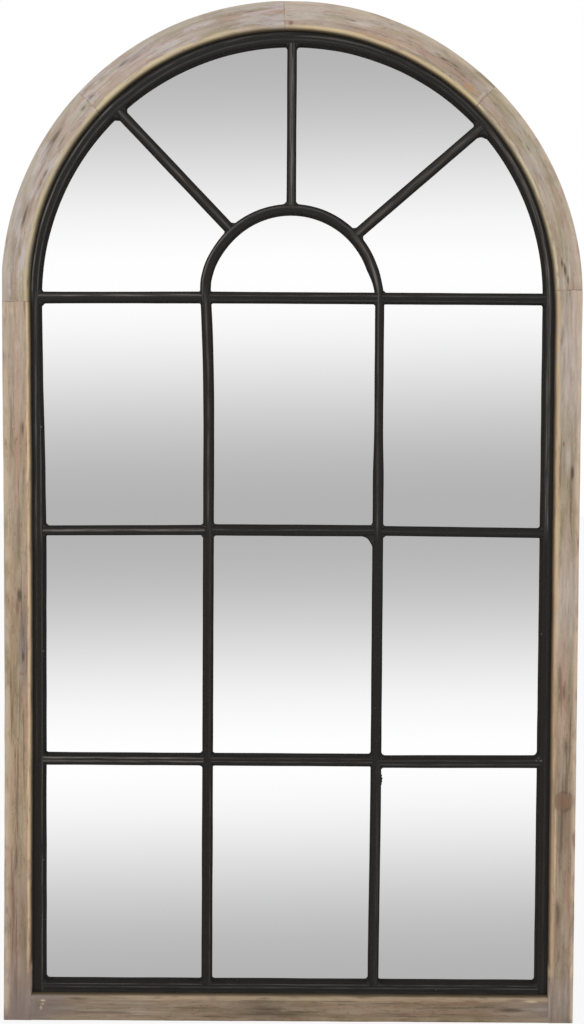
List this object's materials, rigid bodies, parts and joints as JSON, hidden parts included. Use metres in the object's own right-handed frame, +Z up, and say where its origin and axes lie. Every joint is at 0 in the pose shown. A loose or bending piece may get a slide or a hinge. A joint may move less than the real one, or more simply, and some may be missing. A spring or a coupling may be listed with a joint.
{
  "type": "arched wall mirror",
  "caption": "Wall mirror with an arched wooden frame and a black window-style grid of bars in front of the glass, hung by swinging D-rings on its back.",
  "frame": {"origin": "under the middle of the bottom rail, halfway through the depth of the wooden frame", "axes": "+Z up, towards the crown of the arch; the mirror faces -Y and its wall side is +Y; +X is to the right as seen from the front"},
  "size_m": [0.6604, 0.036, 1.1684],
  "materials": {
    "frame_wood": "grey-brown, limewashed and worn, with sanded golden edges",
    "dowel_wood": "raw hardwood",
    "bar_black": "near-black, low sheen, slightly uneven",
    "weld_black": "near-black over ground welds",
    "mirror": "silvered sheet",
    "hardboard": "brown hardboard",
    "zinc": "zinc-plated",
    "felt": "dark felt"
  },
  "bodies": {
    "frame": {"stile_left": "frame_wood", "stile_right": "frame_wood", "bottom_rail": "frame_wood", "arch_left_lower": "frame_wood", "arch_left_upper": "frame_wood", "arch_right_upper": "frame_wood", "arch_right_lower": "frame_wood", "joint_dowels": "dowel_wood", "rim_hoop": "bar_black", "rim_sill": "bar_black", "inner_hoop": "bar_black", "top_bar_left": "bar_black", "top_bar_middle": "bar_black", "top_bar_right": "bar_black", "middle_bar_left": "bar_black", "middle_bar_middle": "bar_black", "middle_bar_right": "bar_black", "bottom_bar_left": "bar_black", "bottom_bar_middle": "bar_black", "bottom_bar_right": "bar_black", "spoke_left": "bar_black", "spoke_centre": "bar_black", "spoke_right": "bar_black", "weld_fillets": "weld_black", "mirror_sheet": "mirror", "backing_board": "hardboard", "backing_screws": "zinc", "strap_left": "zinc", "strap_right": "zinc", "hanger_screws": "zinc", "wall_bumper_left": "felt", "wall_bumper_right": "felt"},
    "left_ring": {"ring_left": "zinc"},
    "right_ring": {"ring_right": "zinc"}
  },
  "joints": [
    {"name": "left_ring_swing", "type": "hinge", "parent": "frame", "child": "left_ring", "pos_m": [-0.3212, 0.01775, 0.7882], "axis": [1, 0, 0], "range_deg": [0, 180]},
    {"name": "right_ring_swing", "type": "hinge", "parent": "frame", "child": "right_ring", "pos_m": [0.3212, 0.01775, 0.7882], "axis": [1, 0, 0], "range_deg": [0, 180]}
  ]
}
